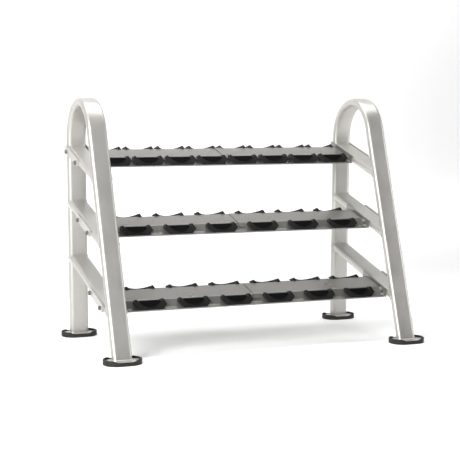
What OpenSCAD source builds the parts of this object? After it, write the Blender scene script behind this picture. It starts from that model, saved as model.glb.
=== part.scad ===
// Three-tier dumbbell rack: two bent-tube end frames joined by three tilted
// folded-steel shelves, each carrying a front and a rear row of moulded saddles.
// Origin: middle of the footprint on the floor. +X across the rack, -Y to the
// front, +Z up. All sizes in millimetres.

/* [Overall] */

// Height from the floor to the top of the arches
rack_height = 1120; // [900:1:1400]
// Width over the outer faces of the end-frame tubes
rack_width = 1466; // [1200:1:1900]

/* [Tube] */

// Tube size across the rack
tube_wide = 89; // [60:1:110]
// Tube size from front to back
tube_deep = 38; // [30:1:50]
// Corner radius of the tube
tube_corner = 18; // [8:0.5:18.5]
// Tube wall
tube_wall = 3; // [2:0.5:5]

/* [End frames] */

// Centreline radius of the arch
arch_radius = 180; // [120:1:240]
// Lean of the front leg from upright
front_lean = 20; // [5:0.5:30]

/* [Tiers] */

// Height of the top crossbar at the rear leg
top_bar_z = 882; // [700:1:1100]
// Height of the middle crossbar at the rear leg
middle_bar_z = 632; // [450:1:850]
// Height of the bottom crossbar at the rear leg
bottom_bar_z = 375; // [250:1:500]
// Forward tilt of every tier
tier_tilt = 15; // [0:0.5:25]
// Slope distance from the rear leg to the front edge of the top shelf
top_reach = 222; // [200:1:260]
// How much further forward each lower shelf stands
tier_step = 195; // [100:1:220]

/* [Shelves] */

// Depth of a shelf along the slope
shelf_depth = 240; // [200:1:300]
// Sheet thickness of shelves and brackets
sheet = 4; // [2:0.5:5]
// Depth of the ledge along each long edge
ledge_depth = 28; // [20:1:40]
// Run of the sloping wall between ledge and raised floor
wall_run = 34; // [20:1:60]
// Height of the raised floor above the ledge
wall_rise = 25; // [15:1:40]
// Centreline radius of the folds
fold_radius = 5; // [3:0.5:10]
// Length of floor left out at each end for the end bracket
floor_setback = 14; // [12:1:80]
// Thickness of the bracket's end plate and of the outer backing plate
plate_thick = 6; // [4:0.5:10]
// Width of the centre strap
strap_width = 32; // [20:1:45]
// Thickness of the centre strap
strap_thick = 3; // [2:0.5:5]

/* [Saddles] */

// Saddles in each row of the top shelf
top_saddles = 8; // [4:2:12]
// Saddles in each row of the two lower shelves
lower_saddles = 6; // [2:2:12]
// Spacing of the saddles on the two lower shelves
lower_pitch = 206; // [160:1:220]
// Height of the saddle tips above the ledge
saddle_rise = 34; // [30:0.5:50]
// Height of the side points above the ledge
side_rise = 16.5; // [8:0.5:24]
// Thickness of the saddle under the middle of the cradle
cradle_floor = 7; // [4:0.5:12]
// Distance of the saddle tips behind the front foot
tip_in = 38; // [25:1:42]
// Size of the flat on each saddle tip
tip_flat = 4; // [2:0.5:6]
// Thickness of the panel that closes each cradle's back
panel_thick = 5; // [3:0.5:8]
// Radius of the screw under each saddle
screw_r = 3; // [2:0.5:4]

/* [Feet] */

// Length of the rubber boot across the rack
boot_long = 170; // [150:1:220]
// Width of the rubber boot from front to back
boot_wide = 120; // [90:1:160]
// Height of the boot's rim at its ends
boot_high = 24; // [18:1:40]
// Height of the boot's rim at its middle
boot_low = 17; // [14:1:30]
// Wall of the boot
boot_wall = 7; // [4:0.5:12]
// Thickness of rubber under the base plate
boot_sole = 9; // [4:0.5:14]
// Thickness of the welded base plate
base_thick = 6; // [4:0.5:10]
// Distance of each anchor hole from the leg's middle
anchor_offset = 64; // [55:1:70]
// Radius of the anchor holes
anchor_r = 5.5; // [3:0.5:7]

/* [Bolts] */

// Radius of the shelf bolts
bolt_r = 5; // [4:0.5:6]
// Radius of the round bolt head
head_r = 8.5; // [7:0.5:10]
// Thickness of the bolt head
head_thick = 5; // [3:0.5:6]
// Thickness of the hex nut
nut_thick = 7; // [5:0.5:9]
// Hex nut size across its flats
nut_flats = 17; // [13:0.5:19]
// Thickness of the washer
washer_thick = 1.5; // [1:0.5:3]
// Radius of the washer
washer_r = 10; // [9:0.5:14]
// Slope distance of the front bolt behind the shelf's front edge
bolt_front = 40; // [36:1:60]
// Slope distance of the rear bolt ahead of the shelf's rear edge
bolt_rear = 35; // [34:1:60]
// Distance of the bolts below the crossbar's middle
bolt_drop = 7; // [4:0.5:9]
// Radius of the floor rivets
rivet_r = 4; // [3:0.5:5]

/* [Clearances] */

// Gap between neighbouring saddles of the top shelf
saddle_gap = 6; // [1:0.5:10]
// Gap between a saddle's back and the sloping wall
seat_gap = 0.4; // [0.2:0.1:1]
// Gap between the end saddles' row and the crossbars
row_gap = 12; // [10:1:20]
// Radial gap of a bolt in its hole
bolt_gap = 0.5; // [0.3:0.1:1]
// Radial gap of a nut, rivet or screw in its hole
thread_gap = 0.1; // [0.05:0.05:0.3]
// Side gap of a crossbar's coped ends at the rounded edge of the legs
cope_gap = 0.8; // [0.5:0.1:2]
// Gap between the base plate and the boot's wall
boot_gap = 0.5; // [0.2:0.1:1]

/* [Hidden] */

$fn = 64;
eps = 0.01;
folds = 6;

// end frame
corner = min(tube_corner, tube_deep / 2 - 1);
leg_x = (rack_width - tube_wide) / 2;
inner_x = leg_x - tube_wide / 2;
outer_x = leg_x + tube_wide / 2;
arch_z = rack_height - arch_radius - tube_deep / 2;
lean_start_z = arch_z + arch_radius * sin(front_lean);
front_run = arch_radius * (1 + cos(front_lean)) + lean_start_z * tan(front_lean);
rear_y = front_run / 2;
front_y = -front_run / 2;
base_z = boot_sole;
leg_z = base_z + base_thick;
lean_len = round(100 * lean_start_z / cos(front_lean)) / 100;

// shelves, in a tier's own axes: y to the rear, z square to the slope
ledge_z = -tube_deep / 2 + sheet;
floor_z = ledge_z + wall_rise;
reach = [top_reach, top_reach + tier_step, top_reach + 2 * tier_step];
bar_z = [top_bar_z, middle_bar_z, bottom_bar_z];
plate_x = inner_x - plate_thick;
row_x = inner_x - row_gap;
floor_x = inner_x - floor_setback;
wall_len = norm([wall_run, wall_rise]);
floor_edge = ledge_depth + wall_run;
flange_in = floor_x - 38;
rivet_x = floor_x - 18;

// saddles
top_pitch = 2 * row_x / top_saddles;
saddle_half = (top_pitch - saddle_gap) / 2;
base_half = saddle_half * 0.68;
tip_half = saddle_half * 0.84;
cradle_half = tip_half - tip_flat;
cradle_depth = saddle_rise - cradle_floor;
cradle_r = (cradle_half * cradle_half + cradle_depth * cradle_depth) / (2 * cradle_depth);
saddle_back = floor_edge - sheet / 2 + 0.5;
screw_in = ledge_depth * 0.6;

// bolts
nut_x = outer_x + plate_thick + washer_thick;
bolt_end = nut_x + nut_thick + 1;

// ---- shapes shared by several parts ----

module rounded(a, b, r) {
    square([a - 2 * r, b], center = true);
    square([a, b - 2 * r], center = true);
    for (sx = [-1, 1], sy = [-1, 1])
        translate([sx * (a / 2 - r), sy * (b / 2 - r)]) circle(r = r);
}

module stadium(a, b) {
    square([a - b, b], center = true);
    for (s = [-1, 1]) translate([s * (a - b) / 2, 0]) circle(d = b);
}

module tube_section(inset = 0, side = 0) {
    rounded(tube_wide - 2 * inset + 2 * side, tube_deep - 2 * inset, corner - inset);
}

module at_rear_leg(x) { translate([x, rear_y, 0]) children(); }

module at_front_leg(x) {
    translate([x, front_y, 0]) rotate([-front_lean, 0, 0]) children();
}

module tube_wall_section() {
    difference() {
        tube_section();
        tube_section(tube_wall);
    }
}

module rear_leg(x) {
    at_rear_leg(x) translate([0, 0, leg_z])
        linear_extrude(height = arch_z - leg_z) tube_wall_section();
}

module front_leg(x) {
    difference() {
        at_front_leg(x) translate([0, 0, -40])
            linear_extrude(height = lean_len + 40) tube_wall_section();
        translate([x - 200, front_y - 200, leg_z - 200]) cube([400, 400, 200]);
    }
}

module arch(x) {
    translate([x, rear_y - arch_radius, arch_z]) rotate([90, 0, 90])
        rotate_extrude(angle = 180 - front_lean, $fn = 96)
            translate([arch_radius, 0]) rotate(90) tube_wall_section();
}

// what the crossbars' ends are coped to
module leg_cutters(x) {
    at_rear_leg(x) linear_extrude(height = arch_z + 50) tube_section(0, cope_gap);
    at_front_leg(x) linear_extrude(height = lean_len) tube_section(0, cope_gap);
}

// a tier's own axes
module tier(n) {
    translate([0, rear_y, bar_z[n]]) rotate([tier_tilt, 0, 0]) children();
}

// from the front edge of a tier's shelf, y to the rear
module from_edge(n) { tier(n) translate([0, -reach[n], 0]) children(); }

// from the rear edge of a tier's shelf, y to the front
module from_back(n) {
    tier(n) translate([0, shelf_depth - reach[n], 0]) mirror([0, 1, 0]) children();
}

// a y-z outline carried along x
module along_x(from, to) {
    translate([from, 0, 0]) rotate([90, 0, 90])
        linear_extrude(height = to - from) children();
}

// a round bar along x
module rod_x(from, to, r, n = 32) {
    translate([from, 0, 0]) rotate([0, 90, 0]) cylinder(h = to - from, r = r, $fn = n);
}

function unit(v) = v / norm(v);
function dir(p, i) = unit(p[i + 1] - p[i]);
function left(v) = [-v[1], v[0]];
function turn(p, i) =
    atan2(dir(p, i - 1)[0] * dir(p, i)[1] - dir(p, i - 1)[1] * dir(p, i)[0],
          dir(p, i - 1) * dir(p, i));

// one side of a folded strip: its end points, and each fold as a short arc at
// the distance off to the left of the centreline, whose own fold radius is r
function strip_side(p, off, r) = [
    p[0] + off * left(dir(p, 0)),
    for (i = [1 : len(p) - 2])
        let (t = turn(p, i), s = sign(t), d = left(dir(p, i - 1)),
             c = p[i] - r * tan(abs(t) / 2) * dir(p, i - 1) + s * r * d)
            for (k = [0 : folds])
                let (a = t * k / folds, v = -s * (r - s * off) * d)
                    c + [v[0] * cos(a) - v[1] * sin(a), v[0] * sin(a) + v[1] * cos(a)],
    p[len(p) - 1] + off * left(dir(p, len(p) - 2))
];

// a folded strip of thickness t along the corner points p
module fold_strip(p, t, r) {
    right_side = strip_side(p, -t / 2, r);
    polygon(concat(strip_side(p, t / 2, r),
                   [for (i = [len(right_side) - 1 : -1 : 0]) right_side[i]]));
}

// ---- end frames and crossbars ----

module crossbar(side, n) {
    bolts = [bolt_front, shelf_depth - bolt_rear];
    difference() {
        tier(n) translate([side * leg_x, 0, 0]) rotate([90, 0, 0])
            linear_extrude(height = front_run) tube_wall_section();
        leg_cutters(side * leg_x);
        translate([side * leg_x, front_y - 340, 0]) rotate([-front_lean, 0, 0])
            translate([-100, -400, -100]) cube([200, 740, lean_len + 300]);
        from_edge(n) for (b = bolts) translate([0, b, -bolt_drop])
            rod_x(-outer_x - 20, outer_x + 20, bolt_r + bolt_gap);
    }
}

// ---- feet ----

module at_foot(side, end) {
    translate([side * leg_x, end > 0 ? rear_y : front_y, 0]) children();
}

module base_plate(side, end) {
    inset = boot_wall + boot_gap;
    long = boot_long - 2 * inset;
    wide = boot_wide - 2 * inset;
    at_foot(side, end) translate([0, 0, base_z])
        linear_extrude(height = base_thick) difference() {
            stadium(long, wide);
            for (s = [-1, 1]) translate([s * anchor_offset, 0])
                circle(r = anchor_r, $fn = 32);
        }
}

module boot(side, end) {
    at_foot(side, end) difference() {
        linear_extrude(height = boot_high) stadium(boot_long, boot_wide);
        translate([0, 0, boot_sole]) linear_extrude(height = boot_high)
            stadium(boot_long - 2 * boot_wall, boot_wide - 2 * boot_wall);
        // the rim dips at the middle of both long sides
        translate([0, boot_wide, 0]) rotate([90, 0, 0])
            linear_extrude(height = 2 * boot_wide)
                polygon([[-34, boot_low], [34, boot_low], [56, boot_high + 1],
                         [-56, boot_high + 1]]);
        for (s = [-1, 1]) translate([s * anchor_offset, 0, -1])
            cylinder(h = boot_sole + 2, r = anchor_r, $fn = 32);
    }
}

// ---- shelves ----

module shelf(n) {
    mid_z = ledge_z - sheet / 2;
    top_z = floor_z - sheet / 2;
    p = [[0, mid_z], [ledge_depth, mid_z], [floor_edge, top_z],
         [shelf_depth - floor_edge, top_z],
         [shelf_depth - ledge_depth, mid_z], [shelf_depth, mid_z]];
    difference() {
        from_edge(n) union() {
            along_x(-floor_x, floor_x) fold_strip(p, sheet, fold_radius);
            for (y = [0, shelf_depth - ledge_depth + 3])
                translate([-row_x - 2, y, ledge_z - sheet])
                    cube([2 * row_x + 4, ledge_depth - 3, sheet]);
        }
        at_screws(n) cylinder(h = 60, r = screw_r + thread_gap, center = true, $fn = 16);
        at_rivets(n) cylinder(h = 30, r = rivet_r + thread_gap, center = true, $fn = 24);
    }
}

module bracket(side, n) {
    difference() {
        from_edge(n) mirror([side < 0 ? 1 : 0, 0, 0]) union() {
            translate([plate_x, 0, -tube_deep / 2])
                cube([plate_thick, shelf_depth, tube_deep]);
            translate([flange_in, floor_edge + 6, floor_z - 2 * sheet])
                cube([plate_x - flange_in + eps, shelf_depth - 2 * floor_edge - 12, sheet]);
        }
        at_bolts(n) rod_x(0, bolt_end, bolt_r + bolt_gap);
        at_rivets(n) cylinder(h = 30, r = rivet_r + thread_gap, center = true, $fn = 24);
    }
}

module backing(side, n) {
    difference() {
        from_edge(n) translate([side > 0 ? outer_x : -outer_x - plate_thick, 0, 0])
            along_x(0, plate_thick) translate([shelf_depth / 2, 0])
                rounded(shelf_depth - 16, tube_deep - 4, 8);
        at_bolts(n) rod_x(0, bolt_end, bolt_r + bolt_gap);
    }
}

// strap over the raised floor; on the lower shelves it folds down the front wall
module strap(n) {
    top = floor_z + strap_thick / 2;
    off = sheet / 2 + strap_thick / 2;
    slope = [wall_run, wall_rise] / wall_len;
    low = [floor_edge, floor_z - sheet / 2] - slope * (wall_len * 0.62)
          + off * left(slope);
    corner_y = floor_edge - off * tan(atan2(wall_rise, wall_run) / 2);
    p = n == 0
        ? [[floor_edge + 2, top], [shelf_depth - floor_edge - 2, top]]
        : [low, [corner_y, top], [shelf_depth - floor_edge - 2, top]];
    from_edge(n) along_x(-strap_width / 2, strap_width / 2)
        fold_strip(p, strap_thick, fold_radius + off);
}

// ---- saddles ----

function row_count(n) = n == 0 ? top_saddles : lower_saddles;
function row_pitch(n) = n == 0 ? top_pitch : lower_pitch;
function row_at(n, i) = (i - (row_count(n) - 1) / 2) * row_pitch(n);

// outline from the front, carried past the tips along its slanting sides
module saddle_outline() {
    over = 1.25;
    up_half = saddle_half - over * (saddle_half - tip_half);
    up = side_rise + over * (saddle_rise - side_rise);
    polygon([[-base_half, 0], [base_half, 0], [saddle_half, side_rise],
             [up_half, up], [-up_half, up], [-saddle_half, side_rise]]);
}

// one saddle, its front foot at y = 0, standing on z = 0
module saddle() {
    back = saddle_back - 6;
    heel = ledge_depth - 9 + seat_gap;
    wall_top = wall_rise + seat_gap;
    // the closing panel's run along y at one height
    run = panel_thick * norm([back - heel, wall_top]) / wall_top;
    rim = wall_rise - 0.5;
    grow = (back - heel) / wall_top;
    difference() {
        intersection() {
            translate([0, 80, 0]) rotate([90, 0, 0])
                linear_extrude(height = 100) saddle_outline();
            along_x(-saddle_half - 1, saddle_half + 1)
                polygon([[0, 0], [heel, 0], [back, wall_top], [back, wall_top + 2],
                         [tip_in + tip_flat, saddle_rise], [tip_in, saddle_rise],
                         [0, 1.5]]);
        }
        // the cradle, open to the front and closed by the panel behind
        intersection() {
            translate([0, 80, cradle_floor + cradle_r]) rotate([90, 0, 0])
                cylinder(h = 100, r = cradle_r, $fn = 96);
            along_x(-saddle_half - 1, saddle_half + 1)
                polygon([[-1, 0], [heel - run, 0], [heel - run + rim * grow, rim],
                         [back + 1, rim], [back + 1, saddle_rise + 1],
                         [-1, saddle_rise + 1]]);
        }
        translate([0, screw_in - 6, -1])
            cylinder(h = cradle_floor - 1, r = screw_r + thread_gap, $fn = 16);
    }
}

module saddles(n, rear = false) {
    for (i = [0 : row_count(n) - 1])
        if (rear) from_back(n) translate([row_at(n, i), 6, ledge_z]) saddle();
        else from_edge(n) translate([row_at(n, i), 6, ledge_z]) saddle();
}

// ---- fasteners ----

module at_screws(n) {
    for (i = [0 : row_count(n) - 1], y = [screw_in, shelf_depth - screw_in])
        from_edge(n) translate([row_at(n, i), y, ledge_z]) children();
}

module saddle_screws(n) {
    at_screws(n) {
        translate([0, 0, -sheet - 3])
            cylinder(h = sheet + 3 + cradle_floor - 2.5, r = screw_r, $fn = 16);
        translate([0, 0, -sheet - 3]) cylinder(h = 3, r = 5.5, $fn = 16);
    }
}

// the four bolt places of a tier, each with +x pointing outward
module at_bolts(n) {
    for (s = [0, 1], y = [bolt_front, shelf_depth - bolt_rear])
        from_edge(n) mirror([s, 0, 0]) translate([0, y, -bolt_drop]) children();
}

module bolts(n) {
    at_bolts(n) {
        rod_x(plate_x - eps, bolt_end, bolt_r);
        difference() {
            rod_x(plate_x - head_thick, plate_x, head_r);
            translate([plate_x - head_thick - 1, 0, 0]) rotate([0, 90, 0])
                cylinder(h = 4, r = 3.4, $fn = 6);
        }
    }
}

module washers(n) {
    at_bolts(n) difference() {
        rod_x(outer_x + plate_thick, nut_x, washer_r);
        rod_x(outer_x, nut_x + 1, bolt_r + bolt_gap);
    }
}

module nuts(n) {
    at_bolts(n) difference() {
        translate([nut_x, 0, 0]) rotate([0, 90, 0])
            cylinder(h = nut_thick, d = nut_flats / cos(30), $fn = 6);
        rod_x(nut_x - 1, bolt_end + 1, bolt_r + thread_gap);
    }
}

module at_rivets(n) {
    for (x = [-rivet_x, rivet_x], y = [shelf_depth / 2 - 32, shelf_depth / 2 + 32])
        from_edge(n) translate([x, y, floor_z]) children();
}

module rivets(n) {
    at_rivets(n) {
        translate([0, 0, -2 * sheet - 3])
            cylinder(h = 2 * sheet + 2.5, r = rivet_r, $fn = 24);
        translate([0, 0, -2 * sheet - 3]) cylinder(h = 3, r = 7, $fn = 24);
    }
}

// ---- parts ----

module left_rear_leg() { color("silver") rear_leg(-leg_x); }
module left_arch() { color("silver") arch(-leg_x); }
module left_front_leg() { color("silver") front_leg(-leg_x); }
module right_rear_leg() { color("silver") rear_leg(leg_x); }
module right_arch() { color("silver") arch(leg_x); }
module right_front_leg() { color("silver") front_leg(leg_x); }
module top_left_crossbar() { color("silver") crossbar(-1, 0); }
module top_right_crossbar() { color("silver") crossbar(1, 0); }
module middle_left_crossbar() { color("silver") crossbar(-1, 1); }
module middle_right_crossbar() { color("silver") crossbar(1, 1); }
module bottom_left_crossbar() { color("silver") crossbar(-1, 2); }
module bottom_right_crossbar() { color("silver") crossbar(1, 2); }
module left_front_base_plate() { color("lightgray") base_plate(-1, -1); }
module left_rear_base_plate() { color("lightgray") base_plate(-1, 1); }
module right_front_base_plate() { color("lightgray") base_plate(1, -1); }
module right_rear_base_plate() { color("lightgray") base_plate(1, 1); }
module left_front_boot() { color("dimgray") boot(-1, -1); }
module left_rear_boot() { color("dimgray") boot(-1, 1); }
module right_front_boot() { color("dimgray") boot(1, -1); }
module right_rear_boot() { color("dimgray") boot(1, 1); }
module top_shelf() { color("silver") shelf(0); }
module middle_shelf() { color("silver") shelf(1); }
module bottom_shelf() { color("silver") shelf(2); }
module top_left_bracket() { color("lightgray") bracket(-1, 0); }
module top_right_bracket() { color("lightgray") bracket(1, 0); }
module middle_left_bracket() { color("lightgray") bracket(-1, 1); }
module middle_right_bracket() { color("lightgray") bracket(1, 1); }
module bottom_left_bracket() { color("lightgray") bracket(-1, 2); }
module bottom_right_bracket() { color("lightgray") bracket(1, 2); }
module top_left_backing() { color("lightgray") backing(-1, 0); }
module top_right_backing() { color("lightgray") backing(1, 0); }
module middle_left_backing() { color("lightgray") backing(-1, 1); }
module middle_right_backing() { color("lightgray") backing(1, 1); }
module bottom_left_backing() { color("lightgray") backing(-1, 2); }
module bottom_right_backing() { color("lightgray") backing(1, 2); }
module top_strap() { color("white") strap(0); }
module middle_strap() { color("white") strap(1); }
module bottom_strap() { color("white") strap(2); }
module top_front_saddles() { color("black") saddles(0); }
module top_rear_saddles() { color("black") saddles(0, true); }
module middle_front_saddles() { color("black") saddles(1); }
module middle_rear_saddles() { color("black") saddles(1, true); }
module bottom_front_saddles() { color("black") saddles(2); }
module bottom_rear_saddles() { color("black") saddles(2, true); }
module top_saddle_screws() { color("gray") saddle_screws(0); }
module middle_saddle_screws() { color("gray") saddle_screws(1); }
module bottom_saddle_screws() { color("gray") saddle_screws(2); }
module top_bolts() { color("gray") bolts(0); }
module middle_bolts() { color("gray") bolts(1); }
module bottom_bolts() { color("gray") bolts(2); }
module top_washers() { color("gray") washers(0); }
module middle_washers() { color("gray") washers(1); }
module bottom_washers() { color("gray") washers(2); }
module top_nuts() { color("gray") nuts(0); }
module middle_nuts() { color("gray") nuts(1); }
module bottom_nuts() { color("gray") nuts(2); }
module top_rivets() { color("gray") rivets(0); }
module middle_rivets() { color("gray") rivets(1); }
module bottom_rivets() { color("gray") rivets(2); }

left_rear_leg();
left_arch();
left_front_leg();
right_rear_leg();
right_arch();
right_front_leg();
top_left_crossbar();
top_right_crossbar();
middle_left_crossbar();
middle_right_crossbar();
bottom_left_crossbar();
bottom_right_crossbar();
left_front_base_plate();
left_rear_base_plate();
right_front_base_plate();
right_rear_base_plate();
left_front_boot();
left_rear_boot();
right_front_boot();
right_rear_boot();
top_shelf();
middle_shelf();
bottom_shelf();
top_left_bracket();
top_right_bracket();
middle_left_bracket();
middle_right_bracket();
bottom_left_bracket();
bottom_right_bracket();
top_left_backing();
top_right_backing();
middle_left_backing();
middle_right_backing();
bottom_left_backing();
bottom_right_backing();
top_strap();
middle_strap();
bottom_strap();
top_front_saddles();
top_rear_saddles();
middle_front_saddles();
middle_rear_saddles();
bottom_front_saddles();
bottom_rear_saddles();
top_saddle_screws();
middle_saddle_screws();
bottom_saddle_screws();
top_bolts();
middle_bolts();
bottom_bolts();
top_washers();
middle_washers();
bottom_washers();
top_nuts();
middle_nuts();
bottom_nuts();
top_rivets();
middle_rivets();
bottom_rivets();
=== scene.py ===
import math

import bmesh
import bpy
from bpy.props import FloatProperty, FloatVectorProperty, PointerProperty
from mathutils import Matrix, Vector


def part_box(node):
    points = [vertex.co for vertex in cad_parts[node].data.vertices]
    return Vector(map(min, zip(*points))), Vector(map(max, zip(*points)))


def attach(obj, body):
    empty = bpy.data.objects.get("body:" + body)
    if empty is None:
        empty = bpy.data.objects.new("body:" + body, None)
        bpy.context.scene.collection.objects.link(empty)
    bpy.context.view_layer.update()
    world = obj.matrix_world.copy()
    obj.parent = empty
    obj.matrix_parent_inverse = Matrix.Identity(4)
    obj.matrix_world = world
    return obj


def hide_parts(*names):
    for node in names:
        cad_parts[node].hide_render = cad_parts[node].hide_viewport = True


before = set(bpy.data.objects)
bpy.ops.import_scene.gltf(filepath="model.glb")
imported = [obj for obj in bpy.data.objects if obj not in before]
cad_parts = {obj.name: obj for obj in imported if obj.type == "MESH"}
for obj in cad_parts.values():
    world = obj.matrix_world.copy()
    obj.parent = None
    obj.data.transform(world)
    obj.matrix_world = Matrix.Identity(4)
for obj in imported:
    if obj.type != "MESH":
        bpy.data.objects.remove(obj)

bl_info = {
    "name": "Dumbbell Rack",
    "version": (1, 0, 0),
    "blender": (4, 5, 0),
    "location": "View3D > Sidebar > Rack",
    "description": "Builds the looks of a three-tier dumbbell rack around its CAD frame",
    "category": "Object",
}

MM = 0.001
# the saddle: its foot's and tips' half widths as shares of its half width, the tips'
# distance behind the foot, the flat on each tip, the closing panel's thickness and
# the drop of that panel's rim below the raised floor in each row
SADDLE_FOOT = 0.68
SADDLE_TIP = 0.84
SADDLE_TIP_IN = 38 * MM
SADDLE_TIP_FLAT = 4 * MM
SADDLE_PANEL = 5 * MM
SADDLE_RIM_DROP = {"front": 0.5 * MM, "rear": 8.0 * MM}
SADDLE_SETBACK = 6 * MM
# the camera: its place in metres, its yaw, downward pitch and roll in degrees, its
# focal length in millimetres and its upward shift
CAMERA_PLACE = (-2.2139, -5.3955, 1.1177)
CAMERA_TURN = (21.806, 9.204, 0.215)
CAMERA_LENS = 98.47
CAMERA_SHIFT = 0.1574
# the rubber boot: its wall, the rounding of its rim, and the rim's low middle
BOOT_WALL = 7 * MM
BOOT_EDGE = 2 * MM
BOOT_LOW = 17 * MM
TIERS = ("top", "middle", "bottom")
SIDES = (("left", -1), ("right", 1))
ENDS = (("front", -1), ("rear", 1))


def srgb(text):
    """The linear RGB of an sRGB hex colour."""
    parts = [int(text[i : i + 2], 16) / 255 for i in (1, 3, 5)]
    return tuple(
        p / 12.92 if p <= 0.04045 else ((p + 0.055) / 1.055) ** 2.4 for p in parts
    )


# ---- places read from the frame ----

leg_low, leg_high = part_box("right_rear_leg")
PLATE_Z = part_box("right_rear_base_plate")[0].z
boot_low, boot_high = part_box("right_rear_boot")
TUBE_WIDE = leg_high.x - leg_low.x
TUBE_DEEP = leg_high.y - leg_low.y
LEG_X = (leg_low.x + leg_high.x) / 2
REAR_Y = (leg_low.y + leg_high.y) / 2
FRONT_Y = -REAR_Y
ARCH_Z = leg_high.z
RACK_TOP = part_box("right_arch")[1].z
ARCH_RADIUS = RACK_TOP - ARCH_Z - TUBE_DEEP / 2
BOOT_LONG = boot_high.x - boot_low.x
BOOT_WIDE = boot_high.y - boot_low.y
BOOT_HIGH = boot_high.z
SHELF_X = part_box("middle_shelf")[1].x
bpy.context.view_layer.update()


class RackSizes(bpy.types.PropertyGroup):
    """Sizes that the frame's boxes don't give."""

    tube_corner: FloatProperty(
        name="Tube corner", description="Corner radius of the flat-oval tube",
        default=18 * MM, min=5 * MM, max=19 * MM, unit="LENGTH")
    front_lean: FloatProperty(
        name="Front lean", description="Lean of the front legs from upright",
        default=math.radians(20), min=0, max=math.radians(30), subtype="ANGLE")
    tilt: FloatProperty(
        name="Tier tilt", description="Forward tilt of the shelves and crossbars",
        default=math.radians(15), min=0, max=math.radians(25), subtype="ANGLE")
    sheet: FloatProperty(
        name="Sheet", description="Thickness of the folded shelf sheet",
        default=4 * MM, min=2 * MM, max=6 * MM, unit="LENGTH")
    shelf_depth: FloatProperty(
        name="Shelf depth", description="Depth of a shelf along its slope",
        default=240 * MM, min=0.2, max=0.3, unit="LENGTH")
    ledge: FloatProperty(
        name="Ledge", description="Depth of the ledge along each long edge",
        default=28 * MM, min=0.02, max=0.04, unit="LENGTH")
    wall_run: FloatProperty(
        name="Wall run", description="Run of the sloping wall",
        default=34 * MM, min=0.02, max=0.06, unit="LENGTH")
    wall_rise: FloatProperty(
        name="Wall rise", description="Rise of the raised floor above the ledge",
        default=25 * MM, min=0.015, max=0.04, unit="LENGTH")
    fold_radius: FloatProperty(
        name="Fold radius", description="Centreline radius of the folds",
        default=5 * MM, min=0.003, max=0.01, unit="LENGTH")
    floor_setback: FloatProperty(
        name="Floor setback", description="Raised floor left out at each end",
        default=14 * MM, min=0.012, max=0.08, unit="LENGTH")
    strap_width: FloatProperty(
        name="Strap width", description="Width of the centre strap",
        default=32 * MM, min=0.02, max=0.045, unit="LENGTH")
    strap_thick: FloatProperty(
        name="Strap thickness", description="Thickness of the centre strap",
        default=3 * MM, min=0.002, max=0.005, unit="LENGTH")
    saddle_half: FloatProperty(
        name="Saddle half width", description="Half the width of a saddle",
        default=76 * MM, min=0.05, max=0.1, unit="LENGTH")
    saddle_rise: FloatProperty(
        name="Saddle rise", description="Height of the saddle tips over the ledge",
        default=34 * MM, min=0.03, max=0.05, unit="LENGTH")
    saddle_side: FloatProperty(
        name="Side rise", description="Height of the side points over the ledge",
        default=16.5 * MM, min=0.008, max=0.024, unit="LENGTH")
    cradle_floor: FloatProperty(
        name="Cradle floor", description="Saddle thickness under the cradle",
        default=7 * MM, min=0.004, max=0.012, unit="LENGTH")
    weld: FloatProperty(
        name="Weld", description="Radius of the weld beads",
        default=4 * MM, min=0.001, max=0.008, unit="LENGTH")


def colour(label, text, value):
    return FloatVectorProperty(
        name=label, description=text, default=srgb(value), size=3, min=0, max=1,
        subtype="COLOR")


class RackColours(bpy.types.PropertyGroup):
    """Base colours of the materials."""

    frame_paint: colour("Frame paint", "Metallic silver of the tubes", "#CAC8C3")
    shelf_paint: colour("Shelf paint", "Metallic silver of the shelves", "#918F8B")
    saddle: colour("Saddle", "Black of the moulded saddles", "#1A1A1A")
    # painted shade: a near-black colour for the shadow deep in the saddles' cradles, not a
    # separate part
    painted_shade: colour("Cradle liner", "Black of the liner in the cradles", "#070707")
    rubber: colour("Rubber", "Charcoal of the boots", "#2B2A28")
    zinc: colour("Zinc", "Plated fasteners", "#8E8E8C")
    floor: colour("Floor", "Studio floor and backdrop", "#F7F7F7")


# ---- materials ----


def add(tree, kind, inputs=None, **settings):
    """Adds one shader node. inputs maps a socket's name or index to a value or to
    the output socket that feeds it."""
    node = tree.nodes.new(kind)
    for name, value in settings.items():
        setattr(node, name, value)
    for name, value in (inputs or {}).items():
        if isinstance(value, bpy.types.NodeSocket):
            tree.links.new(value, node.inputs[name])
        else:
            node.inputs[name].default_value = value
    return node


def rgba(value):
    return (*value, 1.0)


def shade(value, factor):
    return rgba([min(1.0, c * factor) for c in value])


def start_material(name, **inputs):
    """A material with its Principled shader, and the object coordinates."""
    material = bpy.data.materials.new(name)
    material.use_nodes = True
    tree = material.node_tree
    shader = next(n for n in tree.nodes if n.type == "BSDF_PRINCIPLED")
    for socket, value in inputs.items():
        shader.inputs[socket.replace("_", " ")].default_value = value
    coordinates = add(tree, "ShaderNodeTexCoord").outputs["Object"]
    return material, tree, shader, coordinates


def colour_mix(tree, shader, factor, first, second):
    """Feeds the shader's base colour with a mix of two colours."""
    mix = add(tree, "ShaderNodeMix", {"Factor": factor}, data_type="RGBA")
    mix.inputs[6].default_value = first
    mix.inputs[7].default_value = second
    tree.links.new(mix.outputs[2], shader.inputs["Base Color"])


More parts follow.
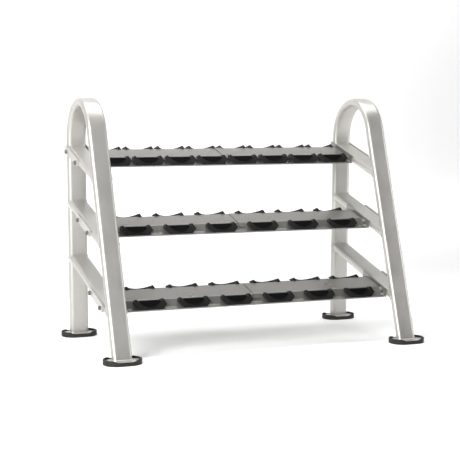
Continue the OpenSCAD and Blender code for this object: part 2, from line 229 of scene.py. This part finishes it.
def metal_flake_paint(name, base, roughness, coat):
    """Metallic silver powder coat under a clear coat, baked on tube or sheet. It
    gives a mid grey body, a fine sparkle, a faint orange peel, and bright blurred
    streaks where the tube rounds."""
    material, tree, shader, at = start_material(
        name, Metallic=0.62, Coat_Weight=coat, Coat_Roughness=0.12, Coat_IOR=1.5)
    # real flakes are 0.05 mm; drawn 1.6 mm wide so that the sparkle shows
    flakes = add(tree, "ShaderNodeTexVoronoi", {"Vector": at, "Scale": 1 / (1.6 * MM)})
    # thickness of the coat drifts over about 90 mm
    drift = add(tree, "ShaderNodeTexNoise",
                {"Vector": at, "Scale": 1 / (90 * MM), "Detail": 3.0})
    flake_tone = add(tree, "ShaderNodeMapRange",
                     {"Value": flakes.outputs["Color"], "To Min": 0.0, "To Max": 0.55})
    drift_tone = add(tree, "ShaderNodeMapRange",
                     {"Value": drift.outputs["Fac"], "From Min": 0.3, "From Max": 0.7,
                      "To Min": 0.0, "To Max": 0.45})
    tone = add(tree, "ShaderNodeMath",
               {0: flake_tone.outputs[0], 1: drift_tone.outputs[0]}, operation="ADD")
    colour_mix(tree, shader, tone.outputs[0], shade(base, 0.93), shade(base, 1.07))
    rough = add(tree, "ShaderNodeMapRange",
                {"Value": drift.outputs["Fac"], "From Min": 0.3, "From Max": 0.7,
                 "To Min": roughness * 0.9, "To Max": roughness * 1.12})
    tree.links.new(rough.outputs[0], shader.inputs["Roughness"])
    # orange peel with dimples about 5 mm apart
    peel = add(tree, "ShaderNodeTexNoise",
               {"Vector": at, "Scale": 1 / (5 * MM), "Detail": 2.0})
    bump = add(tree, "ShaderNodeBump",
               {"Height": peel.outputs["Fac"], "Strength": 0.12, "Distance": 0.12 * MM})
    tree.links.new(bump.outputs[0], shader.inputs["Normal"])
    tree.links.new(bump.outputs[0], shader.inputs["Coat Normal"])
    return material


def grained_polymer(name, base, roughness, grain, depth, dust, sheen):
    """A moulded polymer with a spark-eroded or ground grain. It gives an even dark
    body, a soft sheen along rounded rims and a dusty bloom in broad patches."""
    material, tree, shader, at = start_material(
        name, Specular_IOR_Level=sheen, IOR=1.5)
    grains = add(tree, "ShaderNodeTexNoise",
                 {"Vector": at, "Scale": 1 / grain, "Detail": 4.0, "Roughness": 0.6})
    patches = add(tree, "ShaderNodeTexNoise",
                  {"Vector": at, "Scale": 1 / (60 * MM), "Detail": 3.0})
    bloom = add(tree, "ShaderNodeMapRange",
                {"Value": patches.outputs["Fac"], "From Min": 0.4, "From Max": 0.75})
    colour_mix(tree, shader, bloom.outputs[0], rgba(base), shade(base, dust))
    rough = add(tree, "ShaderNodeMapRange",
                {"Value": patches.outputs["Fac"], "To Min": roughness * 0.85,
                 "To Max": roughness * 1.2})
    tree.links.new(rough.outputs[0], shader.inputs["Roughness"])
    bump = add(tree, "ShaderNodeBump",
               {"Height": grains.outputs["Fac"], "Strength": 0.35, "Distance": depth})
    tree.links.new(bump.outputs[0], shader.inputs["Normal"])
    return material


def plated_steel(name, base):
    """Zinc-plated steel fasteners, barrel plated. It gives a cool grey shine broken
    by fine scuffs."""
    material, tree, shader, at = start_material(name, Metallic=1.0)
    scuffs = add(tree, "ShaderNodeTexNoise",
                 {"Vector": at, "Scale": 1 / (2 * MM), "Detail": 5.0, "Roughness": 0.7})
    colour_mix(tree, shader, scuffs.outputs["Fac"], shade(base, 0.75),
               shade(base, 1.15))
    rough = add(tree, "ShaderNodeMapRange",
                {"Value": scuffs.outputs["Fac"], "To Min": 0.25, "To Max": 0.5})
    tree.links.new(rough.outputs[0], shader.inputs["Roughness"])
    bump = add(tree, "ShaderNodeBump",
               {"Height": scuffs.outputs["Fac"], "Strength": 0.2, "Distance": 0.1 * MM})
    tree.links.new(bump.outputs[0], shader.inputs["Normal"])
    return material


def get_material(name):
    """The named material, made the first time that it is asked for."""
    found = bpy.data.materials.get(name)
    if found:
        return found
    colours = bpy.context.scene.rack_colours
    if name == "silver_powder_coat":
        return metal_flake_paint(name, colours.frame_paint, 0.43, 0.12)
    if name == "silver_sheet_coat":
        return metal_flake_paint(name, colours.shelf_paint, 0.30, 0.12)
    if name == "moulded_polypropylene":
        return grained_polymer(name, colours.saddle, 0.5, 1.5 * MM, 0.10 * MM, 1.25, 0.22)
    # painted shade of the cradles' pocket, darker and duller than the saddle's own black
    if name == "cradle_painted_shade":
        return grained_polymer(name, colours.painted_shade, 0.7, 1.2 * MM, 0.12 * MM, 1.2, 0.08)
    if name == "cast_rubber":
        return grained_polymer(name, colours.rubber, 0.6, 2.0 * MM, 0.18 * MM, 1.35, 0.3)
    if name == "zinc_plated_steel":
        return plated_steel(name, colours.zinc)
    raise ValueError(f"no material is called {name}")


# ---- mesh helpers ----


def make_object(name, bm, material, nodes=(), smooth=40, bevel=0.0):
    """An object from bm, shaded smooth except at edges sharper than smooth degrees,
    that rides on the rack's one body and stands for the given CAD nodes."""
    bmesh.ops.recalc_face_normals(bm, faces=bm.faces)
    mesh = bpy.data.meshes.new(name)
    bm.to_mesh(mesh)
    bm.free()
    mesh.shade_smooth()
    mesh.set_sharp_from_angle(angle=math.radians(smooth))
    mesh.materials.append(get_material(material))
    obj = bpy.data.objects.new(name, mesh)
    bpy.context.scene.collection.objects.link(obj)
    if bevel:
        modifier = obj.modifiers.new("edges", "BEVEL")
        modifier.width = bevel
        modifier.segments = 2
        modifier.limit_method = "ANGLE"
        modifier.angle_limit = math.radians(smooth)
        modifier.harden_normals = True
    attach(obj, "root")
    if nodes:
        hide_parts(*nodes)
    return obj


def skin(bm, rings, closed=False, caps=True):
    """Joins rings of points, all of one count, into a tube."""
    rows = [[bm.verts.new(p) for p in ring] for ring in rings]
    count = len(rows[0])
    pairs = list(zip(rows, rows[1:]))
    if closed:
        pairs.append((rows[-1], rows[0]))
    for a, b in pairs:
        for i in range(count):
            j = (i + 1) % count
            bm.faces.new((a[i], a[j], b[j], b[i]))
    if caps and not closed:
        bm.faces.new(list(reversed(rows[0])))
        bm.faces.new(rows[-1])
    return rows


def rounded_outline(wide, deep, corner, steps=10):
    """Points around a rectangle with round corners, centred on the origin."""
    points = []
    for k, (sx, sy) in enumerate(((1, 1), (-1, 1), (-1, -1), (1, -1))):
        for i in range(steps + 1):
            a = math.radians(90 * k + 90 * i / steps)
            points.append((sx * (wide / 2 - corner) + corner * math.cos(a),
                           sy * (deep / 2 - corner) + corner * math.sin(a)))
    return points


def tube_outline(grow=0.0):
    sizes = bpy.context.scene.rack_sizes
    return rounded_outline(TUBE_WIDE + 2 * grow, TUBE_DEEP + 2 * grow,
                           sizes.tube_corner + grow)


def tier_axes(tier):
    """The middle of a tier's brackets, its forward direction and its upward one."""
    low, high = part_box(f"{tier}_left_bracket")
    tilt = bpy.context.scene.rack_sizes.tilt
    middle = Vector((0, (low.y + high.y) / 2, (low.z + high.z) / 2))
    forward = Vector((0, -math.cos(tilt), -math.sin(tilt)))
    up = Vector((0, -math.sin(tilt), math.cos(tilt)))
    return middle, forward, up


def on_tier(tier):
    """A function from (x, distance forward of mid shelf, height over the crossbar's
    middle) to a place in the frame."""
    middle, forward, up = tier_axes(tier)
    return lambda x, v, w: middle + Vector((x, 0, 0)) + v * forward + w * up


# ---- end frames ----


def frame_path():
    """Places and outward directions along one bent end-frame tube, from the rear
    foot over the arch to the front foot."""
    lean = bpy.context.scene.rack_sizes.front_lean
    foot_z = leg_low.z
    arch_y = REAR_Y - ARCH_RADIUS
    path = [(Vector((0, REAR_Y, foot_z + k * (ARCH_Z - foot_z) / 8)),
             Vector((0, 1, 0))) for k in range(8)]
    steps = 56
    for k in range(steps + 1):
        a = (math.pi - lean) * k / steps
        out = Vector((0, math.cos(a), math.sin(a)))
        path.append((Vector((0, arch_y, ARCH_Z)) + ARCH_RADIUS * out, out))
    start, out = path[-1]
    along = Vector((0, -math.sin(lean), -math.cos(lean)))
    length = (start.z - foot_z) / math.cos(lean)
    for k in range(1, 9):
        path.append((start + along * (length * k / 8), out))
    return path


class RACK_OT_end_frames(bpy.types.Operator):
    """Sweeps the flat-oval tube along both bent end frames"""

    bl_idname = "rack.end_frames"
    bl_label = "End Frames"

    def execute(self, context):
        outline = tube_outline()
        for side, sign in SIDES:
            bm = bmesh.new()
            rings = [[place + Vector((sign * LEG_X + x, 0, 0)) + out * d
                      for x, d in outline] for place, out in frame_path()]
            # the front foot is cut level, to stand flat on its base plate
            lean = context.scene.rack_sizes.front_lean
            along = Vector((0, math.sin(lean), math.cos(lean)))
            rings[-1] = [p + along * ((leg_low.z - p.z) / along.z) for p in rings[-1]]
            skin(bm, rings)
            make_object(f"{side}_end_frame", bm, "silver_powder_coat",
                        [f"{side}_rear_leg", f"{side}_arch", f"{side}_front_leg"])
        return {"FINISHED"}


def leg_half_depth(x):
    """Half the leg tube's depth at a distance x from its middle."""
    corner = bpy.context.scene.rack_sizes.tube_corner
    past = abs(x) - (TUBE_WIDE / 2 - corner)
    if past <= 0:
        return TUBE_DEEP / 2
    past = min(past, corner)
    return TUBE_DEEP / 2 - corner + math.sqrt(corner * corner - past * past)


def bar_end(tier, sign, x, w, end):
    """Where a line along a crossbar, at x and w from its middle, meets a leg."""
    middle, forward, up = tier_axes(tier)
    base = middle + Vector((sign * LEG_X + x, 0, 0)) + w * up
    depth = leg_half_depth(x)
    if end > 0:
        reach = (REAR_Y - depth - base.y) / forward.y
    else:
        lean = bpy.context.scene.rack_sizes.front_lean
        square = Vector((0, math.cos(lean), -math.sin(lean)))
        foot = Vector((base.x, FRONT_Y, 0))
        reach = (depth - (base - foot).dot(square)) / forward.dot(square)
    return base + forward * reach


class RACK_OT_crossbars(bpy.types.Operator):
    """Sweeps the crossbars, each coped to the two legs that it joins"""

    bl_idname = "rack.crossbars"
    bl_label = "Crossbars"

    def execute(self, context):
        outline = tube_outline()
        steps = 10
        for tier in TIERS:
            for side, sign in SIDES:
                bm = bmesh.new()
                rear = [bar_end(tier, sign, x, w, 1) for x, w in outline]
                front = [bar_end(tier, sign, x, w, -1) for x, w in outline]
                skin(bm, [[a.lerp(b, k / steps) for a, b in zip(rear, front)]
                          for k in range(steps + 1)])
                make_object(f"{tier}_{side}_crossbar_tube", bm, "silver_powder_coat",
                            [f"{tier}_{side}_crossbar"])
        return {"FINISHED"}


# ---- welds ----


def bead(bm, points, radius, steps=8):
    """A weld bead around a closed loop of points, with a ripple along it."""
    count = len(points)
    total = sum((points[i] - points[i - 1]).length for i in range(count))
    run = 0.0
    rings = []
    for i, place in enumerate(points):
        along = (points[(i + 1) % count] - points[i - 1]).normalized()
        centre = sum(points, Vector()) / count
        out = place - centre
        out = (out - along * out.dot(along)).normalized()
        across = along.cross(out)
        run += (place - points[i - 1]).length if i else 0.0
        ripples = round(total / (7 * MM))
        size = radius * (1 + 0.12 * math.sin(2 * math.pi * ripples * run / total))
        rings.append([place + size * (math.cos(a) * out + math.sin(a) * across)
                      for a in (2 * math.pi * k / steps for k in range(steps))])
    skin(bm, rings, closed=True)


def even_loop(points, spacing):
    """The closed loop resampled at even spacing."""
    count = len(points)
    lengths = [(points[(i + 1) % count] - points[i]).length for i in range(count)]
    total = sum(lengths)
    wanted = max(24, round(total / spacing))
    result = []
    i, start = 0, 0.0
    for k in range(wanted):
        at = total * k / wanted
        while start + lengths[i] < at:
            start += lengths[i]
            i += 1
        part = (at - start) / lengths[i] if lengths[i] else 0.0
        result.append(points[i].lerp(points[(i + 1) % count], part))
    return result


class RACK_OT_welds(bpy.types.Operator):
    """Lays the weld beads where crossbars meet legs and legs meet base plates"""

    bl_idname = "rack.welds"
    bl_label = "Welds"

    def execute(self, context):
        radius = context.scene.rack_sizes.weld
        lean = context.scene.rack_sizes.front_lean
        outline = tube_outline()
        spacing = 1.8 * MM
        for side, sign in SIDES:
            bm = bmesh.new()
            for tier in TIERS:
                for _, end in ENDS:
                    loop = [bar_end(tier, sign, x, w, end) for x, w in outline]
                    bead(bm, even_loop(loop, spacing), radius)
            for _, end in ENDS:
                y = REAR_Y if end > 0 else FRONT_Y
                slope = 0.0 if end > 0 else lean
                y += leg_low.z * math.tan(slope)
                loop = [Vector((sign * LEG_X + x, y + d / math.cos(slope), leg_low.z))
                        for x, d in outline]
                bead(bm, even_loop(loop, spacing), radius * 1.2)
            make_object(f"{side}_welds", bm, "silver_powder_coat")
        return {"FINISHED"}


# ---- shelves ----


def folded_outline(corners, thick, radius, steps=8):
    """The closed outline of a folded strip of that thickness along its corners."""
    def unit(a, b):
        d = Vector(b) - Vector(a)
        return d.normalized()

    left_side, right_side = [], []
    for i, corner in enumerate(corners):
        here = Vector(corner)
        if i in (0, len(corners) - 1):
            d = unit(corners[0], corners[1]) if i == 0 else unit(*corners[-2:])
            normal = Vector((-d.y, d.x))
            left_side.append(here + normal * thick / 2)
            right_side.append(here - normal * thick / 2)
            continue
        before, after = unit(corners[i - 1], corner), unit(corner, corners[i + 1])
        turn = math.atan2(before.x * after.y - before.y * after.x, before.dot(after))
        s = 1 if turn > 0 else -1
        normal = Vector((-before.y, before.x))
        centre = here - before * radius * math.tan(abs(turn) / 2) + normal * s * radius
        for k in range(steps + 1):
            spoke = -s * normal
            spoke.rotate(Matrix.Rotation(turn * k / steps, 2))
            left_side.append(centre + spoke * (radius - s * thick / 2))
            right_side.append(centre + spoke * (radius + s * thick / 2))
    return left_side + right_side[::-1]


def shelf_corners():
    """Corners of the sheet's middle line across a shelf, rear to front."""
    sizes = bpy.context.scene.rack_sizes
    low = -TUBE_DEEP / 2 + sizes.sheet / 2
    high = low + sizes.wall_rise
    edge = sizes.shelf_depth / 2
    outer, inner = edge - sizes.ledge, edge - sizes.ledge - sizes.wall_run
    return [(-edge, low), (-outer, low), (-inner, high), (inner, high), (outer, low),
            (edge, low)]


def prism(bm, outline, place, x0, x1, steps=1):
    """A straight bar with the given outline across it, from x0 to x1."""
    skin(bm, [[place(x0 + (x1 - x0) * k / steps, p[0], p[1]) for p in outline]
              for k in range(steps + 1)])


class RACK_OT_shelves(bpy.types.Operator):
    """Folds the three shelf sheets and their centre straps"""

    bl_idname = "rack.shelves"
    bl_label = "Shelves"

    def execute(self, context):
        sizes = context.scene.rack_sizes
        inner_x = LEG_X - TUBE_WIDE / 2
        floor_x = inner_x - sizes.floor_setback
        corners = shelf_corners()
        outline = folded_outline(corners, sizes.sheet, sizes.fold_radius)
        for tier in TIERS:
            place = on_tier(tier)
            bm = bmesh.new()
            prism(bm, outline, place, -floor_x, floor_x, 24)
            low = corners[0][1]
            t = sizes.sheet / 2
            edge = sizes.shelf_depth / 2
            near = edge - sizes.ledge + 3 * MM
            for v0, v1 in ((near, edge), (-edge, -near)):
                for s in (-1, 1):
                    ends = sorted((s * floor_x, s * SHELF_X))
                    prism(bm, [(v0, low - t), (v1, low - t), (v1, low + t),
                               (v0, low + t)], place, *ends)
            make_object(f"{tier}_shelf_sheet", bm, "silver_sheet_coat",
                        [f"{tier}_shelf"], bevel=0.7 * MM)
            self.strap(tier, place, sizes, corners)
        return {"FINISHED"}

    def strap(self, tier, place, sizes, corners):
        thick = sizes.strap_thick
        top = corners[2][1] + sizes.sheet / 2 + thick / 2
        inner = corners[3][0]
        off = (sizes.sheet + thick) / 2
        slope = Vector((sizes.wall_run, -sizes.wall_rise)).normalized()
        normal = Vector((-slope.y, slope.x))
        if tier == "top":
            line = [(-inner + 2 * MM, top), (inner - 2 * MM, top)]
        else:
            angle = math.atan2(sizes.wall_rise, sizes.wall_run)
            wall = math.hypot(sizes.wall_run, sizes.wall_rise)
            bend = inner + off * math.tan(angle / 2)
            low = Vector(corners[3]) + slope * wall * 0.62 + normal * off
            line = [(-inner + 2 * MM, top), (bend, top), tuple(low)]
        bm = bmesh.new()
        half = sizes.strap_width / 2
        outline = folded_outline(line, thick, sizes.fold_radius + off)
        prism(bm, outline, place, -half, half)
        make_object(f"{tier}_centre_strap", bm, "silver_sheet_coat",
                    [f"{tier}_strap"], bevel=0.6 * MM)


# ---- saddles ----


def saddle_mesh(sizes, rim_drop, steps=28):
    """One saddle in its own axes: x across, y from its front foot to the rear and
    z up from the ledge. It is built of rings that run around its side profile, one
    ring at each station across, so that the cradle, the panel that closes it and the
    two winged ends come from one lofted skin."""
    half, rise, floor = sizes.saddle_half, sizes.saddle_rise, sizes.cradle_floor
    foot, tip, flat = half * SADDLE_FOOT, half * SADDLE_TIP, SADDLE_TIP_FLAT
    tip_in = SADDLE_TIP_IN
    back = sizes.ledge + sizes.wall_run - sizes.sheet / 2 - 5.5 * MM
    heel = sizes.ledge - 8.6 * MM
    top = sizes.wall_rise + 0.4 * MM
    grow = (back - heel) / top
    run = SADDLE_PANEL * math.hypot(back - heel, top) / top
    rim = sizes.wall_rise - rim_drop
    deep = rise - floor
    reach = tip - flat
    radius = (reach * reach + deep * deep) / (2 * deep)

    def underside(x):
        x = abs(x)
        return 0.0 if x <= foot else (x - foot) / (half - foot) * sizes.saddle_side

    def roof(x):
        x = abs(x)
        if x <= tip:
            return rise
        return rise - (x - tip) / (half - tip) * (rise - sizes.saddle_side)

    def cradle(x):
        x = abs(x)
        return floor + radius - math.sqrt(radius * radius - x * x) if x < reach else rise

    def front_y(z):
        return max(0.0, (z - 1.5 * MM) / (rise - 1.5 * MM) * tip_in)

    def back_y(z):
        if z <= top:
            return heel + z * grow
        if z <= top + 2 * MM:
            return back
        part = (z - top - 2 * MM) / (rise - top - 2 * MM)
        return back + part * (tip_in + flat - back)

    def inner(z):
        return heel - run + z * grow

    def ring(x):
        low, high, bowl = underside(x), roof(x), cradle(x)
        crest = min(high, bowl)
        wall = min(high, max(bowl, rim)) if bowl < high else high
        points = [(front_y(low), low), (front_y(crest), crest)]
        if bowl < rim:
            # over the cradle's floor, up the panel and over its rim
            points += [(max(front_y(crest), inner(crest)), crest), (inner(rim), rim)]
            # repeated, so that every ring has one count; the doubles merge later
            points += 3 * [(back_y(rim), rim)]
        else:
            across = back_y(crest) - front_y(crest)
            points += [(front_y(crest) + 0.25 * across, crest),
                       (front_y(crest) + 0.5 * across, crest)]
            points += [(back_y(z), z)
                       for z in (wall, min(wall, top + 2 * MM), min(wall, top))]
        waist = max(low, 0.5 * min(top, wall))
        points += [(back_y(waist), waist), (back_y(low), low)]
        return [Vector((x, y, z)) for y, z in points]

    # stations across: wing tips, then evenly over the cradle
    edge_x = math.sqrt(radius * radius - (floor + radius - rim) ** 2)
    wing = [half, half - 0.5 * (half - tip), tip, reach + 0.5 * (tip - reach), reach]
    mid = [edge_x + (reach - edge_x) * k / 5 for k in range(4, 0, -1)]
    bowl = [edge_x * math.cos(math.pi / 2 * k / (steps / 2)) for k in range(1, steps // 2)]
    right = wing + mid + [edge_x + 0.02 * MM, edge_x - 0.02 * MM] + bowl
    stations = right + [0.0] + [-x for x in reversed(right)]
    bm = bmesh.new()
    skin(bm, [ring(x) for x in stations])
    bmesh.ops.remove_doubles(bm, verts=bm.verts, dist=0.01 * MM)
    bmesh.ops.dissolve_degenerate(bm, edges=bm.edges, dist=0.01 * MM)
    bmesh.ops.recalc_face_normals(bm, faces=bm.faces)
    # the cradle's floor and the panel behind it take the near-black painted shade, which
    # stands for the shadow deep in the pocket
    for face in bm.faces:
        x, y, z = face.calc_center_median()
        inside = abs(x) < reach and cradle(x) - 0.4 * MM < z < rim - 0.2 * MM
        if inside and front_y(z) + 0.4 * MM < y < back_y(z) - 1.0 * MM:
            face.material_index = 1
    return bm


class RACK_OT_saddles(bpy.types.Operator):
    """Moulds the front and rear rows of saddles on every shelf"""

    bl_idname = "rack.saddles"
    bl_label = "Saddles"

    def execute(self, context):
        sizes = context.scene.rack_sizes
        templates = {}
        for row, drop in SADDLE_RIM_DROP.items():
            source = saddle_mesh(sizes, drop)
            templates[row] = bpy.data.meshes.new(f"{row}_saddle_template")
            source.to_mesh(templates[row])
            source.free()
        ledge = -TUBE_DEEP / 2 + sizes.sheet
        edge = sizes.shelf_depth / 2 - SADDLE_SETBACK
        for tier in TIERS:
            place = on_tier(tier)
            for row, sign in (("front", 1), ("rear", -1)):
                node = f"{tier}_{row}_saddles"
                low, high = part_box(node)
                count = 8 if tier == "top" else 6
                pitch = (high.x - low.x - 2 * sizes.saddle_half) / (count - 1)
                bm = bmesh.new()
                for k in range(count):
                    x = (k - (count - 1) / 2) * pitch
                    first = len(bm.verts)
                    bm.from_mesh(templates[row])
                    bm.verts.ensure_lookup_table()
                    for vert in bm.verts[first:]:
                        p = vert.co
                        vert.co = place(x + p.x, sign * (edge - p.y), ledge + p.z)
                moulding = make_object(
                    f"{node}_moulding", bm, "moulded_polypropylene",
                    [node], smooth=30, bevel=1.0 * MM)
                # the second slot carries the painted shade of the cradles' pocket
                moulding.data.materials.append(get_material("cradle_painted_shade"))
        for template in templates.values():
            bpy.data.meshes.remove(template)
        return {"FINISHED"}


# ---- feet ----


def stadium(long, wide, steps=24):
    """Points around a stadium, with the outward direction of each."""
    points = []
    for s in (1, -1):
        for k in range(steps + 1):
            a = math.radians(-90 + 180 * k / steps) + (0 if s > 0 else math.pi)
            out = Vector((math.cos(a), math.sin(a), 0))
            centre = Vector((s * (long - wide) / 2, 0, 0))
            points.append((centre + out * wide / 2, out))
        # points along the straight side, for the dip of the rim
        a, b = points[-1][0], Vector((-points[-1][0].x, points[-1][0].y, 0))
        out = points[-1][1]
        for k in range(1, 12):
            points.append((a.lerp(b, k / 12), out))
    return points


def rim_height(x):
    """Height of a boot's rim, low along the middle and raised at both ends."""
    low, dip, full = BOOT_LOW, 30 * MM, 60 * MM
    t = min(1.0, max(0.0, (abs(x) - dip) / (full - dip)))
    return low + (BOOT_HIGH - low) * t * t * (3 - 2 * t)


class RACK_OT_boots(bpy.types.Operator):
    """Casts the four rubber boots around the base plates"""

    bl_idname = "rack.boots"
    bl_label = "Rubber Boots"

    def execute(self, context):
        wall, sole, edge = BOOT_WALL, PLATE_Z, BOOT_EDGE
        around = stadium(BOOT_LONG, BOOT_WIDE)
        # inward offset and height of each ring, from the floor over the rim to the sole
        rings = [(edge, lambda h: 0.0), (0.6 * MM, lambda h: 0.6 * MM),
                 (0.0, lambda h: edge), (0.0, lambda h: h - edge),
                 (0.6 * MM, lambda h: h - 0.6 * MM), (edge, lambda h: h),
                 (wall - edge, lambda h: h), (wall - 0.6 * MM, lambda h: h - 0.6 * MM),
                 (wall, lambda h: h - edge), (wall, lambda h: sole)]
        for side, sign in SIDES:
            for end, direction in ENDS:
                centre = Vector((sign * LEG_X, REAR_Y * direction, 0))
                bm = bmesh.new()
                skin(bm, [[centre + p - out * inset
                           + Vector((0, 0, height(rim_height(p.x))))
                           for p, out in around] for inset, height in rings])
                make_object(f"{side}_{end}_boot_casting", bm, "cast_rubber",
                            [f"{side}_{end}_boot"], smooth=50)
        return {"FINISHED"}


# ---- carried-over CAD pieces ----

KEPT = {
    "zinc_plated_steel": ("bolts", "washers", "nuts", "rivets", "screws"),
    "silver_sheet_coat": ("bracket",),
    "silver_powder_coat": ("backing", "base_plate"),
}


class RACK_OT_hardware(bpy.types.Operator):
    """Gives the CAD pieces that stay in view their materials"""

    bl_idname = "rack.hardware"
    bl_label = "Plates and Fasteners"

    def execute(self, context):
        for name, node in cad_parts.items():
            for material, endings in KEPT.items():
                if name.endswith(endings):
                    node.data.materials.clear()
                    node.data.materials.append(get_material(material))
        return {"FINISHED"}


# ---- stage ----


def softbox(name, place, target, size, power, tint="#FFFFFF"):
    light = bpy.data.lights.new(name, "AREA")
    light.shape = "RECTANGLE"
    light.size, light.size_y = size
    light.energy = power
    light.color = srgb(tint)
    obj = bpy.data.objects.new(name, light)
    obj.location = place
    aim = Vector(target) - Vector(place)
    obj.rotation_euler = aim.to_track_quat("-Z", "Y").to_euler()
    bpy.context.scene.collection.objects.link(obj)
    return obj


class RACK_OT_stage(bpy.types.Operator):
    """Sets the pale floor, the soft studio light and the camera"""

    bl_idname = "rack.stage"
    bl_label = "Studio Stage"

    def execute(self, context):
        self.backdrop(context.scene.rack_colours.floor)
        softbox("key_softbox", (-3.6, -2.6, 2.3), (0, 0, 0.6), (1.8, 2.8), 210)
        softbox("top_softbox", (0.0, 0.5, 3.6), (0, 0.3, 0.3), (4.5, 1.0), 95)
        softbox("backdrop_light", (0.0, 4.0, 5.5), (0, 11.5, 2.5), (14.0, 4.0), 700)
        softbox("right_strip", (3.8, -1.2, 1.6), (0.4, 0, 0.6), (0.7, 2.4), 45)
        world = bpy.data.worlds.new("studio")
        world.use_nodes = True
        background = world.node_tree.nodes["Background"]
        # the room keeps the default dark grey colour and only fills faintly, a little
        # less from the front: the softboxes and the paper's own glow give the light
        direction = add(world.node_tree, "ShaderNodeTexCoord").outputs["Generated"]
        parts = add(world.node_tree, "ShaderNodeSeparateXYZ", {"Vector": direction})
        fade = add(world.node_tree, "ShaderNodeMapRange",
                   {"Value": parts.outputs["Y"], "From Min": -0.9, "From Max": 0.5,
                    "To Min": 0.95, "To Max": 1.05}, interpolation_type="SMOOTHSTEP")
        world.node_tree.links.new(fade.outputs[0], background.inputs["Strength"])
        context.scene.world = world
        context.scene.view_settings.view_transform = "Standard"
        self.camera(context)
        return {"FINISHED"}

    def backdrop(self, base):
        bm = bmesh.new()
        rise, back, wide = 2.5, 9.0, 30.0
        profile = [(-40.0, 0.0), (back, 0.0)]
        profile += [(back + rise * math.sin(a), rise * (1 - math.cos(a)))
                    for a in (math.pi / 2 * k / 12 for k in range(1, 13))]
        profile.append((back + rise, 14.0))
        rows = [[bm.verts.new((x, y, z)) for x in (-wide, wide)] for y, z in profile]
        for a, b in zip(rows, rows[1:]):
            bm.faces.new((a[0], a[1], b[1], b[0]))
        mesh = bpy.data.meshes.new("backdrop")
        bm.to_mesh(mesh)
        bm.free()
        mesh.shade_smooth()
        material, tree, shader, at = start_material(
            "seamless_paper", Roughness=0.9, Specular_IOR_Level=0.1,
            Emission_Color=(1, 1, 1, 1), Emission_Strength=0.28)
        shader.inputs["Base Color"].default_value = rgba(base)
        mesh.materials.append(material)
        floor = bpy.data.objects.new("backdrop", mesh)
        bpy.context.scene.collection.objects.link(floor)

    def camera(self, context):
        yaw, pitch, roll = (math.radians(a) for a in CAMERA_TURN)
        ahead = Vector((math.sin(yaw) * math.cos(pitch),
                        math.cos(yaw) * math.cos(pitch), -math.sin(pitch)))
        right = Vector((math.cos(yaw), -math.sin(yaw), 0))
        up = right.cross(ahead)
        right, up = (math.cos(roll) * right + math.sin(roll) * up,
                     math.cos(roll) * up - math.sin(roll) * right)
        data = bpy.data.cameras.new("camera")
        data.sensor_width = 36
        data.lens = CAMERA_LENS
        data.shift_y = CAMERA_SHIFT
        camera = bpy.data.objects.new("camera", data)
        camera.matrix_world = Matrix.Translation(CAMERA_PLACE) @ Matrix(
            (right, up, -ahead)).transposed().to_4x4()
        context.scene.collection.objects.link(camera)
        context.scene.camera = camera


# ---- panel and registration ----

STEPS = (RACK_OT_end_frames, RACK_OT_crossbars, RACK_OT_welds, RACK_OT_shelves,
         RACK_OT_saddles, RACK_OT_boots, RACK_OT_hardware, RACK_OT_stage)


class RACK_PT_panel(bpy.types.Panel):
    """Lists the steps that build the rack"""

    bl_label = "Dumbbell Rack"
    bl_idname = "RACK_PT_panel"
    bl_space_type = "VIEW_3D"
    bl_region_type = "UI"
    bl_category = "Rack"

    def draw(self, context):
        for step in STEPS:
            self.layout.operator(step.bl_idname)
        for name in RackSizes.__annotations__:
            self.layout.prop(context.scene.rack_sizes, name)
        for name in RackColours.__annotations__:
            self.layout.prop(context.scene.rack_colours, name)


CLASSES = (RackSizes, RackColours, *STEPS, RACK_PT_panel)


def register():
    for cls in CLASSES:
        bpy.utils.register_class(cls)
    bpy.types.Scene.rack_sizes = PointerProperty(type=RackSizes)
    bpy.types.Scene.rack_colours = PointerProperty(type=RackColours)


def unregister():
    del bpy.types.Scene.rack_colours
    del bpy.types.Scene.rack_sizes
    for cls in reversed(CLASSES):
        bpy.utils.unregister_class(cls)


def main():
    register()
    bpy.ops.rack.end_frames()
    bpy.ops.rack.crossbars()
    bpy.ops.rack.welds()
    bpy.ops.rack.shelves()
    bpy.ops.rack.saddles()
    bpy.ops.rack.boots()
    bpy.ops.rack.hardware()
    bpy.ops.rack.stage()


if __name__ == "__main__":
    main()
